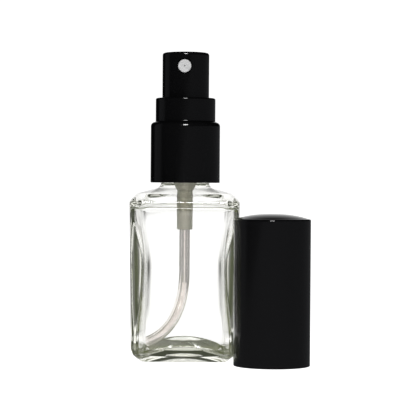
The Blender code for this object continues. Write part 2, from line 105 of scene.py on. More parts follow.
def rounded(corners, closed=True, steps=FILLET_STEPS):
    """An outline through (radius, z, fillet) corners; each fillet is an arc between two support points."""
    count = len(corners)
    points = []
    for i, (x, z, fillet) in enumerate(corners):
        if fillet == 0.0 or (not closed and i in (0, count - 1)):
            points.append((x, z))
            continue
        here = Vector((x, z))
        back = Vector(corners[i - 1][:2]) - here
        ahead = Vector(corners[(i + 1) % count][:2]) - here
        half = back.angle(ahead) / 2
        reach = fillet / math.tan(half)
        middle = here + (back.normalized() + ahead.normalized()).normalized() * (fillet / math.sin(half))
        first = here + back.normalized() * reach
        last = here + ahead.normalized() * reach
        support = SUPPORT_SHARE * fillet
        if back.length > reach + 2 * support:
            points.append(tuple(first + back.normalized() * support))
        start = first - middle
        turn = start.angle_signed(last - middle)
        for k in range(steps + 1):
            rotated = Matrix.Rotation(-turn * k / steps, 2) @ start
            points.append(tuple(middle + rotated))
        if ahead.length > reach + 2 * support:
            points.append(tuple(last + ahead.normalized() * support))
    return points


# -------------------------------------------------------------------- meshes

def make_object(name, bm, sharp=SHARP_ANGLE):
    """An object from a bmesh in millimetres, shaded smooth except at its sharp edges."""
    bmesh.ops.recalc_face_normals(bm, faces=bm.faces)
    bmesh.ops.scale(bm, vec=(MM, MM, MM), verts=bm.verts)
    mesh = bpy.data.meshes.new(name)
    bm.to_mesh(mesh)
    bm.free()
    mesh.shade_smooth()
    mesh.set_sharp_from_angle(angle=math.radians(sharp))
    obj = bpy.data.objects.new(name, mesh)
    bpy.context.scene.collection.objects.link(obj)
    return obj


def loft(bm, rings, closed=False):
    """Skins lists of verts; a ring of one vert is a pole."""
    pairs = list(zip(rings, rings[1:]))
    if closed:
        pairs.append((rings[-1], rings[0]))
    for low, high in pairs:
        for i in range(max(len(low), len(high))):
            corners = [low[i % len(low)], low[(i + 1) % len(low)]]
            corners += [high[(i + 1) % len(high)], high[i % len(high)]]
            face = list(dict.fromkeys(corners))
            if len(face) > 2:
                bm.faces.new(face)


def lathe(name, profile, steps=FINE, closed=True):
    """An object of (radius, z) points turned about Z; an open profile starts and ends on the axis."""
    bm = bmesh.new()
    rings = []
    for radius, z in profile:
        if radius < 1e-6:
            rings.append([bm.verts.new((0.0, 0.0, z))])
            continue
        ring = []
        for i in range(steps):
            angle = math.tau * i / steps
            ring.append(bm.verts.new((radius * math.cos(angle), radius * math.sin(angle), z)))
        rings.append(ring)
    loft(bm, rings, closed)
    return make_object(name, bm)


def helix(radius, start_z, pitch, start_angle, turns, per_turn):
    """Points of a rising spiral round Z, per_turn of them to a turn."""
    count = round(turns * per_turn)
    points = []
    for i in range(count + 1):
        turn = i / per_turn
        angle = start_angle + turn * math.tau
        points.append(Vector((radius * math.cos(angle), radius * math.sin(angle), start_z + pitch * turn)))
    return points


def sweep_rings(bm, points, radius, sides):
    """Rings of verts round points, at right angles to the path."""
    rings = []
    count = len(points)
    side = None
    for i, point in enumerate(points):
        ahead = points[min(i + 1, count - 1)] - points[max(i - 1, 0)]
        ahead.normalize()
        if side is None:
            side = ahead.orthogonal().normalized()
        side = (side - ahead * side.dot(ahead)).normalized()
        other = ahead.cross(side)
        ring = []
        for k in range(sides):
            angle = math.tau * k / sides
            across = side * radius * math.cos(angle)
            ring.append(bm.verts.new(point + across + other * radius * math.sin(angle)))
        rings.append(ring)
    return rings


def sweep_mesh(points, radius, sides):
    """A bmesh of a round bar along points."""
    bm = bmesh.new()
    rings = sweep_rings(bm, points, radius, sides)
    loft(bm, rings)
    bm.faces.new(rings[0])
    bm.faces.new(rings[-1])
    return bm


def thread_ridge(name, radius, start_angle, turns):
    """The ridge of a screw thread, as a bar wound round Z."""
    points = helix(radius, THREAD_Z, THREAD_PITCH, start_angle, turns, THREAD_STEPS)
    return make_object(name, sweep_mesh(points, THREAD_RIDGE, RIDGE_FACETS))


def boolean(obj, other, operation):
    """Applies a Boolean of other to obj, and removes other."""
    change = obj.modifiers.new("Boolean", "BOOLEAN")
    change.operation = operation
    change.solver = "EXACT"
    change.object = other
    graph = bpy.context.evaluated_depsgraph_get()
    mesh = bpy.data.meshes.new_from_object(obj.evaluated_get(graph))
    obj.modifiers.clear()
    obj.data = mesh
    bpy.data.objects.remove(other, do_unlink=True)
    mesh.shade_smooth()
    mesh.set_sharp_from_angle(angle=math.radians(SHARP_ANGLE))


def paint(mesh, finish):
    mesh.materials.clear()
    mesh.materials.append(finish)


def dress(obj, finish, body, node):
    """Gives a piece its material and its body, and hides the CAD node that it stands for."""
    paint(obj.data, finish)
    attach(obj, body)
    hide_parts(node)


# ----------------------------------------------------------------- materials

class Nodes:
    """Short calls for building a node tree."""

    def __init__(self, tree):
        self.tree = tree

    def add(self, kind, **values):
        node = self.tree.nodes.new(kind)
        for key, value in values.items():
            setattr(node, key, value)
        return node

    def link(self, source, target):
        self.tree.links.new(source, target)

    def math(self, operation, *values):
        node = self.add("ShaderNodeMath", operation=operation)
        for socket, value in zip(node.inputs, values):
            if isinstance(value, (int, float)):
                socket.default_value = value
            else:
                self.link(value, socket)
        return node.outputs[0]

    def noise(self, scale, detail=3.0, upright=1.0):
        """Noise in object space, scale cells to a metre across and upright times as many along Z."""
        where = self.add("ShaderNodeTexCoord")
        mapping = self.add("ShaderNodeMapping")
        mapping.inputs["Scale"].default_value = (1.0, 1.0, upright)
        self.link(where.outputs["Object"], mapping.inputs["Vector"])
        node = self.add("ShaderNodeTexNoise")
        node.inputs["Scale"].default_value = scale
        node.inputs["Detail"].default_value = detail
        self.link(mapping.outputs["Vector"], node.inputs["Vector"])
        return node.outputs["Fac"]

    def ramp(self, factor, low, high, start, end):
        """Goes from low to high as the factor goes from start to end."""
        node = self.add("ShaderNodeMapRange")
        node.inputs["From Min"].default_value = start
        node.inputs["From Max"].default_value = end
        node.inputs["To Min"].default_value = low
        node.inputs["To Max"].default_value = high
        self.link(factor, node.inputs["Value"])
        return node.outputs["Result"]

    def mix(self, factor, low, high):
        """Blends two colours; each is three numbers or the output of another node."""
        node = self.add("ShaderNodeMix", data_type="RGBA")
        for socket, colour in ((node.inputs["A"], low), (node.inputs["B"], high)):
            if isinstance(colour, tuple):
                socket.default_value = (*colour, 1.0)
            else:
                self.link(colour, socket)
        self.link(factor, node.inputs["Factor"])
        return node.outputs["Result"]

    def split(self, vector):
        """The outputs X, Y and Z of a vector."""
        node = self.add("ShaderNodeSeparateXYZ")
        self.link(vector, node.inputs["Vector"])
        return node.outputs["X"], node.outputs["Y"], node.outputs["Z"]

    def bump(self, height, depth_mm, target):
        node = self.add("ShaderNodeBump")
        node.inputs["Strength"].default_value = 1.0
        node.inputs["Distance"].default_value = depth_mm * MM
        self.link(height, node.inputs["Height"])
        self.link(node.outputs["Normal"], target)


def principled(name, colour, roughness, **inputs):
    """A Principled material and its node helper; further inputs go by name, with _ for a space."""
    made = bpy.data.materials.new(name)
    made.use_nodes = True
    shader = made.node_tree.nodes["Principled BSDF"]
    shader.inputs["Base Color"].default_value = (*colour, 1.0)
    shader.inputs["Roughness"].default_value = roughness
    for key, value in inputs.items():
        shader.inputs[key.replace("_", " ")].default_value = value
    return made, shader, Nodes(made.node_tree)


def fill(made, nodes, colour, density, glow=(0.0, 0.0, 0.0)):
    """What a ray loses inside the material, and a painted glow: light that the material gives off along a
    long path through it.
    """
    absorb = nodes.add("ShaderNodeVolumeAbsorption")
    absorb.inputs["Color"].default_value = (*colour, 1.0)
    absorb.inputs["Density"].default_value = density
    # painted glow: an emission inside the material, not a lamp
    painted_glow = nodes.add("ShaderNodeEmission")
    painted_glow.inputs["Color"].default_value = (*glow, 1.0)
    both = nodes.add("ShaderNodeAddShader")
    nodes.link(absorb.outputs["Volume"], both.inputs[0])
    nodes.link(painted_glow.outputs["Emission"], both.inputs[1])
    nodes.link(both.outputs["Shader"], made.node_tree.nodes["Material Output"].inputs["Volume"])


def uneven_gloss(nodes, shader, pattern, smoothest, roughest):
    roughness = nodes.ramp(pattern, smoothest, roughest, start=0.3, end=0.7)
    nodes.link(roughness, shader.inputs["Roughness"])


def uneven_colour(nodes, shader, pattern, dark, light):
    share = nodes.ramp(pattern, 0.0, 1.0, start=0.35, end=0.65)
    nodes.link(nodes.mix(share, dark, light), shader.inputs["Base Color"])


def clear_glass():
    """Bottle glass: a green tint that gathers along the path, a painted glow along the path, and faint waves
    in the surface.
    """
    made, shader, nodes = principled("clear_glass", (1.0, 1.0, 1.0), roughness=0.0,
                                     Transmission_Weight=1.0, IOR=1.52)
    # glow is painted light given off inside the glass
    fill(made, nodes, (0.88, 0.86, 0.62), density=10.0, glow=(1.7, 1.9, 1.35))
    waves = nodes.noise(120.0, detail=1.0, upright=0.25)
    nodes.bump(waves, 0.02, shader.inputs["Normal"])
    return made


def clear_liquid():
    made, _, nodes = principled("clear_liquid", (1.0, 1.0, 1.0), roughness=0.0,
                                Transmission_Weight=1.0, IOR=1.36)
    fill(made, nodes, (0.9, 0.9, 0.8), density=1.0)
    return made


def gloss_black(name, tone, roughness):
    made, shader, nodes = principled(name, (tone, tone, tone * 1.08), roughness, IOR=1.48)
    smear = nodes.noise(220.0, detail=4.0, upright=0.3)
    uneven_gloss(nodes, shader, smear, roughness * 0.7, roughness * 1.5)
    nodes.bump(nodes.noise(900.0, detail=2.0), 0.001, shader.inputs["Normal"])
    return made


def textured_pale():
    made, shader, nodes = principled("pale_nozzle_plastic", (0.6, 0.6, 0.6), roughness=0.45)
    grain = nodes.noise(2600.0)
    uneven_colour(nodes, shader, grain, (0.50, 0.50, 0.51), (0.70, 0.70, 0.70))
    nodes.bump(grain, 0.03, shader.inputs["Normal"])
    return made


def translucent(name, tint, transmission, roughness, cloud, glow):
    """A cloudy plastic; its glow is painted light, an emission that stands in for the light it scatters from
    inside.
    """
    # Emission here is a painted glow
    made, shader, nodes = principled(name, tint, roughness, Transmission_Weight=transmission, IOR=1.51,
                                     Emission_Color=(*tint, 1.0), Emission_Strength=glow)
    clouds = nodes.noise(cloud)
    uneven_colour(nodes, shader, clouds, tuple(0.88 * part for part in tint), tint)
    nodes.bump(clouds, 0.004, shader.inputs["Normal"])
    return made


def moulded(name, tint, roughness):
    made, shader, nodes = principled(name, tint, roughness)
    grain = nodes.noise(1200.0)
    uneven_gloss(nodes, shader, grain, roughness * 0.8, roughness * 1.2)
    nodes.bump(grain, 0.004, shader.inputs["Normal"])
    return made


def drawn_steel():
    made, shader, nodes = principled("drawn_steel", (0.62, 0.62, 0.60), roughness=0.22, Metallic=1.0)
    uneven_gloss(nodes, shader, nodes.noise(1500.0, upright=0.2), 0.15, 0.35)
    return made


# -------------------------------------------------------------- glass bottle

ARC_STEPS = 12              # divisions of a section's quarter circle
FLATS = (0.04, 0.2, 0.4, 0.6, 0.8, 0.96)    # where a section's flats are divided

# Places on the outside are half widths and heights in millimetres.
BODY_HALF = 15.6
BODY_TAPER = 0.6            # how much narrower each side is at the heel
FOOT_INSET = 3.2
HEEL_STEP = (0.65, 1.8)     # inset from the heel's top, and height
HEEL_TOP = 3.6
HEEL_FILLET = 0.9
FOOT_FILLET = 0.35
DOME_DEPTH = 0.5            # of the underside
DOME_MARGIN = 1.6
DOME_RINGS = (0.15, 0.4, 0.65, 0.85, 1.0)
DOME_SQUARING = 0.85        # the dome's sections go from circles towards squares
UPRIGHT_EDGE = 3.4          # radius of the upright edges
MITRE_FROM = 15.0           # half width below which the upright edges get sharper
MITRE_RATE = 0.3
SHOULDER_Z = 45.55
SHOULDER_FILLET = 1.6
SHOULDER_REACH = 1.5
SHOULDER_SOFTENING = 0.8
CHAMFER_TOP = (13.4, 47.75)
CHAMFER_FILLET = 1.8
NECK_FOOT = (6.95, 49.56)
NECK_HEIGHT = 11.2          # of the threaded finish
NECK_STEP = 1.0
NECK_HALF = 7.7
LIP_FILLET = 0.5
ROUND_NECK = 8.6            # half width from which the shoulder's sections are circles
OUTSIDE_SPACING = 2.4

CAVITY_HALF = 12.1
CAVITY_CORNER = 3.0
CAVITY_SPREAD = (1.4, 28.0, 44.0)   # how much wider it gets upwards, and between which heights
CAVITY_SPLAY = (0.5, 18.0, 6.0)     # the same, downwards
CORNER_SHARPENING = 1.2
CAVITY_SHOULDER_Z = 45.0
CAVITY_SHOULDER_FILLET = 2.4
CEILING_FOOT = 47.2         # where the sloping ceiling meets the neck's bore
CEILING_FILLET = 1.6
WALL_DROP = 4.0             # from the cavity's shoulder to its straight wall
WALL_RINGS = 16
BLEND_RINGS = 3             # the wall's lowest rings, which start to follow the floor
BLEND_SHARE = 0.4
BORE_HALF = 4.9
LIP_HALF = 5.3
LIP_BEVEL = 0.39
CAVITY_SPACING = 2.0
FLOOR_CREST = 6.8           # the floor's highest point
FLOOR_FALL = 0.0205         # the floor sinks by this times the distance from the middle, squared
FLOOR_FILLET = 1.6
FLOOR_FADE = 3.0            # height above the crest at which the wall starts to follow the floor
FLOOR_RINGS = (0.85, 0.7, 0.5, 0.3, 0.12)

LIQUID_TOP = 52.0
BORE_LEVEL = 22.7
WET = 0.03                  # how far the liquid reaches into the wall that holds it
# The liquid's top: shares of its width, and how far it climbs there.
MENISCUS = ((0.3, 0.0), (0.6, 0.0), (0.85, 0.02), (0.94, 0.12), (0.98, 0.3))
MENISCUS_RIM = 0.55
FLOOR_ZONE = 8.0            # height below which the tube can meet the floor
FLOOR_FILM = 0.08           # liquid left between the tube and the floor
HOLLOW_TOP = 45.0           # height below which the walls of the tube's hollow follow the pump
# Outline of the space that the housing's tail takes up.
TAIL_SPACE = ((0.0, 53.0), (2.39, 53.0), (2.39, 49.33), (2.3, 48.95), (2.19, 37.28), (0.0, 37.28))
TAIL_TURN = math.radians(1.7)       # keeps the facets of the tail's space off the tube's


def square_ring(half, corner):
    """Points of a rounded square, its arcs and its flats divided evenly; corner == half makes a circle."""
    inset = half - corner
    points = []
    for quarter in range(4):
        turn = Matrix.Rotation(math.radians(90 * quarter), 2)
        for i in range(ARC_STEPS + 1):
            angle = math.radians(90 * i / ARC_STEPS)
            across, up = corner * math.cos(angle), corner * math.sin(angle)
            points.append(turn @ Vector((inset + across, inset + up)))
        for share in FLATS:
            points.append(turn @ Vector((inset - 2 * inset * share, half)))
    return points


def divided(points, longest):
    """The same outline with no stretch longer than longest."""
    result = [points[0]]
    for low, high in zip(points, points[1:]):
        pieces = math.ceil(math.dist(low, high) / longest)
        for i in range(1, pieces + 1):
            share = i / pieces
            result.append((low[0] + (high[0] - low[0]) * share, low[1] + (high[1] - low[1]) * share))
    return result


def outside_corner(half, z):
    """Radius of the upright edges at a section: mitred at the heel, a circle at the neck."""
    if z < SHOULDER_Z - SHOULDER_REACH:
        return UPRIGHT_EDGE - MITRE_RATE * max(MITRE_FROM - half, 0.0)
    top_half, top_corner = CHAMFER_TOP[0], UPRIGHT_EDGE + SHOULDER_SOFTENING
    if half > top_half:
        return UPRIGHT_EDGE + SHOULDER_SOFTENING * (BODY_HALF - half) / (BODY_HALF - top_half)
    share = min((top_half - half) / (top_half - ROUND_NECK), 1.0)
    return top_corner + (half - top_corner) * share


def bottle_outside(half, lip):
    """(half, corner, z) of the outside, from the underside's shallow dome up to the lip."""
    heel, foot = half - BODY_TAPER, half - FOOT_INSET
    dome = foot - DOME_MARGIN
    neck_z = lip - NECK_HEIGHT
    sections = []
    for share in DOME_RINGS:
        size = dome * share
        sections.append((size, size * (1.0 - DOME_SQUARING * share), DOME_DEPTH * (1.0 - share ** 2)))
    outline = [
        (dome, 0.0, 0.0), (foot, 0.0, FOOT_FILLET), (heel - HEEL_STEP[0], HEEL_STEP[1], HEEL_FILLET),
        (heel, HEEL_TOP, HEEL_FILLET), (half, SHOULDER_Z, SHOULDER_FILLET), (*CHAMFER_TOP, CHAMFER_FILLET),
        (*NECK_FOOT, CHAMFER_FILLET), (NECK_FOOT[0], neck_z - NECK_STEP, 0.0), (NECK_HALF, neck_z, 0.0),
        (NECK_HALF, lip, LIP_FILLET), (LIP_HALF, lip, 0.0),
    ]
    curved = rounded(outline, closed=False, steps=GLASS_FILLET_STEPS)[1:-1]
    for size, z in divided(curved, OUTSIDE_SPACING):
        sections.append((size, outside_corner(size, z), z))
    return sections


def smooth_step(z, start, end):
    """Goes from 0 to 1 as z goes from start to end, level at both."""
    share = (z - start) / (end - start)
    share = min(max(share, 0.0), 1.0)
    return share * share * (3.0 - 2.0 * share)


def cavity_half(z):
    """The cavity is waisted: it widens towards the shoulder, and a little towards the floor."""
    half = CAVITY_HALF
    for widening, start, end in (CAVITY_SPREAD, CAVITY_SPLAY):
        half += widening * smooth_step(z, start, end)
    return half


def cavity_corner(z):
    """Radius of the cavity's upright corners, which get sharper towards the shoulder."""
    return CAVITY_CORNER - CORNER_SHARPENING * smooth_step(z, *CAVITY_SPREAD[1:])


def bottle_inside(lip):
    """(half, corner, z, fall) of the cavity, from the lip down to the floor's edge and in over its dome."""
    shoulder = cavity_half(CAVITY_SHOULDER_Z)
    wall_z = CAVITY_SHOULDER_Z - WALL_DROP
    outline = [
        (LIP_HALF, lip, 0.0), (BORE_HALF, lip, LIP_BEVEL), (BORE_HALF, CEILING_FOOT, CEILING_FILLET),
        (shoulder, CAVITY_SHOULDER_Z, CAVITY_SHOULDER_FILLET), (cavity_half(wall_z), wall_z, 0.0),
    ]
    sections = []
    curved = rounded(outline, closed=False, steps=GLASS_FILLET_STEPS)
    for size, z in divided(curved, CAVITY_SPACING):
        share = max(size - BORE_HALF, 0.0) / (shoulder - BORE_HALF)
        sections.append((size, size + (cavity_corner(z) - size) * min(share, 1.0) ** 2, z, 0.0))
    foot_z = FLOOR_CREST + FLOOR_FADE
    for i in range(1, WALL_RINGS + 1):
        z = wall_z + (foot_z - wall_z) * i / WALL_RINGS
        follow = BLEND_SHARE * max(i + BLEND_RINGS - WALL_RINGS, 0) / BLEND_RINGS
        sections.append((cavity_half(z), cavity_corner(z), z, follow))
    edge = cavity_half(foot_z) - FLOOR_FILLET
    for size, z in arc((edge, FLOOR_CREST + FLOOR_FILLET), FLOOR_FILLET, 0, -90, GLASS_FILLET_STEPS):
        sections.append((size, CAVITY_CORNER, z, 1.0))
    for share in FLOOR_RINGS:
        size = edge * share
        sections.append((size, size + (CAVITY_CORNER - size) * share, FLOOR_CREST, 1.0))
    return sections


def glass_wobble(point):
    """How far the cavity's wall stands out of true, in millimetres: slow waves, longer up than across."""
    x, y, z = point
    waves = math.sin(0.16 * z + 0.3 * x + 0.4) * math.sin(0.33 * y + 0.9)
    waves += 0.5 * math.sin(0.27 * z - 0.25 * y + 1.7)
    settle = min(max((44.0 - z) / 8.0, 0.0), 1.0)       # none in the shoulder
    return 0.07 * waves * settle


def cavity_rings(bm, lip, top, swell):
    """Rings of the cavity's surface below top, moved outwards by swell."""
    rings = []
    for half, corner, z, fall in bottle_inside(lip):
        if z > top:
            continue
        ring = []
        for x, y in square_ring(half + swell, corner + swell):
            point = Vector((x, y, z - fall * (FLOOR_FALL * (x * x + y * y) + swell)))
            outward = Vector((x, y, 0.0)).normalized()
            ring.append(bm.verts.new(point + outward * glass_wobble(point)))
        rings.append(ring)
    return rings


def make_bottle(finish):
    high = span("glass_bottle")[1]
    bm = bmesh.new()
    rings = []
    for half, corner, z in bottle_outside(high.x, high.z):
        rings.append([bm.verts.new((*point, z)) for point in square_ring(half, corner)])
    rings += cavity_rings(bm, high.z, high.z, 0.0)
    base_pole = bm.verts.new((0.0, 0.0, DOME_DEPTH))
    floor_pole = bm.verts.new((0.0, 0.0, FLOOR_CREST))
    loft(bm, [[base_pole]] + rings + [[floor_pole]])
    bmesh.ops.remove_doubles(bm, verts=bm.verts, dist=MERGE_DISTANCE)
    bottle = make_object("bottle_glass", bm, GLASS_SHARP_ANGLE)
    boolean(bottle, thread_ridge("neck_thread", NECK_HALF, start_angle=0.0, turns=1.5), "UNION")
    dress(bottle, finish, "bottle", "glass_bottle")


def make_liquid(finish):
    """The aftershave: it fills the cavity up to its level, and the tube's bore up to a lower one.

    The tube and the housing's tail stand in a hollow of their own, which rises with the pump."""
    lip = span("glass_bottle")[1].z
    bm = bmesh.new()
    rings = cavity_rings(bm, lip, LIQUID_TOP, WET)
    rim = rings[0]
    surface = []
    for share, climb in MENISCUS:
        z = LIQUID_TOP + climb
        surface.append([bm.verts.new((vert.co.x * share, vert.co.y * share, z)) for vert in rim])
    for vert in rim:
        vert.co.z = LIQUID_TOP + MENISCUS_RIM
    top_pole = bm.verts.new((0.0, 0.0, LIQUID_TOP))
    floor_pole = bm.verts.new((0.0, 0.0, FLOOR_CREST - WET))
    loft(bm, [[top_pole]] + surface + rings + [[floor_pole]])
    bmesh.ops.remove_doubles(bm, verts=bm.verts, dist=MERGE_DISTANCE)
    liquid = make_object("aftershave_liquid", bm, GLASS_SHARP_ANGLE)
    corners = [vert.co for vert in liquid.data.vertices]
    walls = BVHTree.FromPolygons(corners, [tuple(face.vertices) for face in liquid.data.polygons])
    path = tube_path()
    short = path[:-1] + [path[-1] + (path[-2] - path[-1]).normalized() * WET]
    displaced = make_object("tube_space", sweep_mesh(short, TUBE_RADIUS - WET, TUBE_FACETS))
    keep_off_floor(displaced.data, walls)
    boolean(liquid, displaced, "DIFFERENCE")
    tail = lathe("tail_space", TAIL_SPACE, SMALL, closed=False)
    tail.rotation_euler.z = TAIL_TURN
    boolean(liquid, tail, "DIFFERENCE")
    drawn = [point for point in path if point.z < BORE_LEVEL]
    column = make_object("tube_column", sweep_mesh(drawn, TUBE_BORE + WET, TUBE_FACETS))
    boolean(liquid, column, "UNION")
    paint(liquid.data, finish)
    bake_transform(liquid, "bottle", "pump", start=(0.0, 0.0, 0.0), end=(0.0, 0.0, 1.0))
    share_hollow(liquid.data, walls)


def keep_off_floor(hollow, walls):
    """Lifts the hollow round the tube where it would break through the cavity's floor."""
    for vert in hollow.vertices:
        if vert.co.z < FLOOR_ZONE * MM:
            above = vert.co + Vector((0.0, 0.0, MM))
            found = walls.ray_cast(above, Vector((0.0, 0.0, -1.0)))[0]
            if found:
                vert.co.z = max(vert.co.z, found.z + FLOOR_FILM * MM)


def share_hollow(liquid, walls):
    """Below HOLLOW_TOP the hollow round the tube follows the pump; what lies on the walls stays behind."""
    follows = liquid.attributes["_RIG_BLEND"]
    for vert in liquid.vertices:
        away = walls.find_nearest(vert.co)[3] > FLOOR_FILM / 2 * MM
        follows.data[vert.index].value = 1.0 if away and vert.co.z < HOLLOW_TOP * MM else 0.0


# ------------------------------------------------------- closure and overcap

COLLAR_HEIGHT = 17.55
COLLAR_BORE = 8.95
RING_RADIUS = 8.67
RING_BORE = 7.1
DECK_Z = 66.9
DECK_BORE = 5.2


def make_closure(finish):
    low, high = span("closure")
    radius, top = high.x, high.z
    step = low.z + COLLAR_HEIGHT
    shell = lathe("closure_shell", rounded([
        (RING_RADIUS, top, 0.45), (RING_RADIUS, step, 0.25), (radius, step, 1.25), (radius, low.z, 0.2),
        (COLLAR_BORE, low.z, 0.1), (COLLAR_BORE, DECK_Z, 0.2), (DECK_BORE, DECK_Z, 0.1),
        (DECK_BORE, step, 0.1), (RING_BORE, step, 0.2), (RING_BORE, top, 0.25),
    ]))
    ridge = thread_ridge("closure_thread", COLLAR_BORE, start_angle=math.pi, turns=1.25)
    boolean(shell, ridge, "UNION")
    dress(shell, finish, "closure", "closure")


CAP_WALL = 0.55
CAP_CROWN = 1.4             # rise of the domed top
CAP_CROWN_POWER = 2.4
CAP_CROWN_STEPS = 20
CAP_EDGE = 0.5
CAP_EDGE_ARC = 71           # degrees of the edge's round that the crown leaves
CAP_RIM_OUTSIDE = 0.15
CAP_RIM_INSIDE = 0.1
CAP_LAND = 0.3              # straight stretch beside a round
CAP_CEILING = (0.3, 0.6)    # the inside's top, below the shoulder: in the middle and at its edge
CAP_BEVEL = 0.3
CAP_EDGE_STEPS = 8
CAP_RIM_STEPS = 3
CAP_RIBS = 6
RIB_TIP = 8.87              # distance from the cap's axis
RIB_BOTTOM = 22.0
RIB_WIDTH = 0.6
RIB_ROOT = 0.2              # how far a rib reaches into the wall
RIB_TOP_GAP = 0.5           # from the crown's shoulder down to the rib's top
RIB_ROUND = 0.12


def cap_profile(radius, height):
    """The overcap's section, from the middle of its crown out, down, round the rim and up inside."""
    shoulder, flat, inside = height - CAP_CROWN, radius - CAP_EDGE, radius - CAP_WALL
    profile = []
    for i in range(CAP_CROWN_STEPS + 1):
        share = i / CAP_CROWN_STEPS
        profile.append((flat * i / CAP_CROWN_STEPS, height - CAP_CROWN * share ** CAP_CROWN_POWER))
    profile += arc((flat, shoulder - CAP_EDGE), CAP_EDGE, CAP_EDGE_ARC, 0, CAP_EDGE_STEPS)
    profile += [(radius, shoulder - CAP_EDGE - CAP_LAND), (radius, CAP_RIM_OUTSIDE + CAP_LAND)]
    profile += arc((radius - CAP_RIM_OUTSIDE, CAP_RIM_OUTSIDE), CAP_RIM_OUTSIDE, 0, -90, CAP_RIM_STEPS)
    profile += arc((inside + CAP_RIM_INSIDE, CAP_RIM_INSIDE), CAP_RIM_INSIDE, -90, -180, CAP_RIM_STEPS)
    middle, edge = shoulder - CAP_CEILING[0], shoulder - CAP_CEILING[1]
    profile += [(inside, CAP_RIM_INSIDE + CAP_LAND), (inside, edge - CAP_BEVEL)]
    profile += [(inside - CAP_BEVEL, edge), (0.0, middle)]
    return profile


def make_overcap(finish):
    low, high = span("overcap")
    radius = (high.x - low.x) / 2
    cap = lathe("overcap_shell", cap_profile(radius, high.z), FINE, closed=False)
    cap.location = ((low.x + high.x) / 2 * MM, (low.y + high.y) / 2 * MM, 0.0)
    rib_top = high.z - CAP_CROWN - RIB_TOP_GAP
    reach = radius - CAP_WALL + RIB_ROOT - RIB_TIP
    shape = Matrix.Diagonal((reach, RIB_WIDTH, rib_top - RIB_BOTTOM, 1.0))
    centre = Matrix.Translation((RIB_TIP + reach / 2, 0.0, (RIB_BOTTOM + rib_top) / 2))
    for i in range(CAP_RIBS):
        turn = Matrix.Rotation(math.tau * (i + 0.5) / CAP_RIBS, 4, "Z")
        bm = bmesh.new()
        bmesh.ops.create_cube(bm, size=1.0, matrix=turn @ centre @ shape)
        bmesh.ops.bevel(bm, geom=bm.edges[:], offset=RIB_ROUND, segments=2, affect="EDGES")
        rib = make_object("cap_rib_%d" % (i + 1), bm)
        rib.location = cap.location
        boolean(cap, rib, "UNION")
    dress(cap, finish, "overcap", "overcap")


# ------------------------------------------------------- actuator and nozzle

ACTUATOR_YAW = math.radians(-2.5)
NOZZLE_Z = 84.2
BUTTON_RADIUS = 6.78
BUTTON_WALL = 1.1
BUTTON_CEILING = 1.7        # thickness of the button's top
BUTTON_BOSS = 3.0
BUTTON_SOCKET = 1.9         # radius of the hole that takes the stem
SOCKET_TOP = 80.2
FEED_RADIUS = 0.8           # of the passage from the socket to the channel
FEED_DROP = 1.0             # its end, below the nozzle's axis
BOSS_LIFT = 2.6             # the boss's end, above the button's bottom
DISH_DEPTH = 0.5            # of the finger rest in the button's top
DISH_MARGIN = 1.5
DISH_STEPS = 8
DISH_POWER = 1.5
# Distances from the button's outside inwards, along the nozzle's axis, are called inset.
HOLDER_RADIUS = 3.0         # of the block that carries the nozzle
HOLDER_INSET = 0.6
HOLDER_END = 1.5            # its other end, from the button's axis
POCKET_RADIUS = 2.25
POCKET_INSET = 2.6
POCKET_OVERSHOOT = 0.6
POST_RADIUS = 1.0
POST_INSET = 1.15
CHANNEL_RADIUS = 0.45
CHANNEL_INSET = 2.3
CHANNEL_DROP = 1.55         # below the nozzle's axis


def nozzle_place():
    """Turns a profile's +Z to face the way the nozzle sprays, at the nozzle's height."""
    yaw = Matrix.Rotation(ACTUATOR_YAW, 4, "Z")
    return yaw @ Matrix.Translation((0.0, 0.0, NOZZLE_Z * MM)) @ Matrix.Rotation(math.pi / 2, 4, "X")


def make_actuator(finish):
    low, high = span("actuator")
    radius, top, bottom = BUTTON_RADIUS, high.z, low.z
    skirt, ceiling, dish = radius - BUTTON_WALL, top - BUTTON_CEILING, radius - DISH_MARGIN
    boss_z, feed_z = bottom + BOSS_LIFT, NOZZLE_Z - FEED_DROP
    profile = []
    for i in range(DISH_STEPS):
        angle = i / DISH_STEPS * math.pi / 2
        profile.append((dish * i / DISH_STEPS, top - DISH_DEPTH * math.cos(angle) ** DISH_POWER))
    profile += rounded([
        (dish, top, 0.0), (radius, top, 0.7), (radius, bottom, 0.15), (skirt, bottom, 0.15),
        (skirt, ceiling, 0.4), (BUTTON_BOSS, ceiling, 0.3), (BUTTON_BOSS, boss_z, 0.15),
        (BUTTON_SOCKET, boss_z, 0.1), (BUTTON_SOCKET, SOCKET_TOP, 0.1), (FEED_RADIUS, SOCKET_TOP, 0.05),
        (FEED_RADIUS, feed_z, 0.1), (0.0, feed_z, 0.0),
    ], closed=False)
    button = lathe("actuator_button", profile, FINE, closed=False)
    back = radius - POCKET_INSET
    holder = cutter("holder", [(HOLDER_RADIUS, radius - HOLDER_INSET), (HOLDER_RADIUS, HOLDER_END)], SMALL)
    pocket = cutter("pocket", [
        (POCKET_RADIUS, radius + POCKET_OVERSHOOT), (POCKET_RADIUS, back),
        (POST_RADIUS, back), (POST_RADIUS, radius - POST_INSET),
    ], SMALL)
    channel = cutter("channel", [
        (CHANNEL_RADIUS, radius - CHANNEL_INSET), (CHANNEL_RADIUS, 0.0),
    ], BORE_FACETS)
    for tool in (holder, pocket):
        tool.matrix_world = nozzle_place()
    channel.matrix_world = Matrix.Translation((0.0, 0.0, -CHANNEL_DROP * MM)) @ nozzle_place()
    boolean(button, holder, "UNION")
    boolean(button, pocket, "DIFFERENCE")
    boolean(button, channel, "DIFFERENCE")
    dress(button, finish, "actuator", "actuator")


def cutter(name, side, steps):
    """A solid turned about Z, closed at both ends on the axis."""
    profile = [(0.0, side[0][1]), *side, (0.0, side[-1][1])]
    return lathe(name, profile, steps, closed=False)


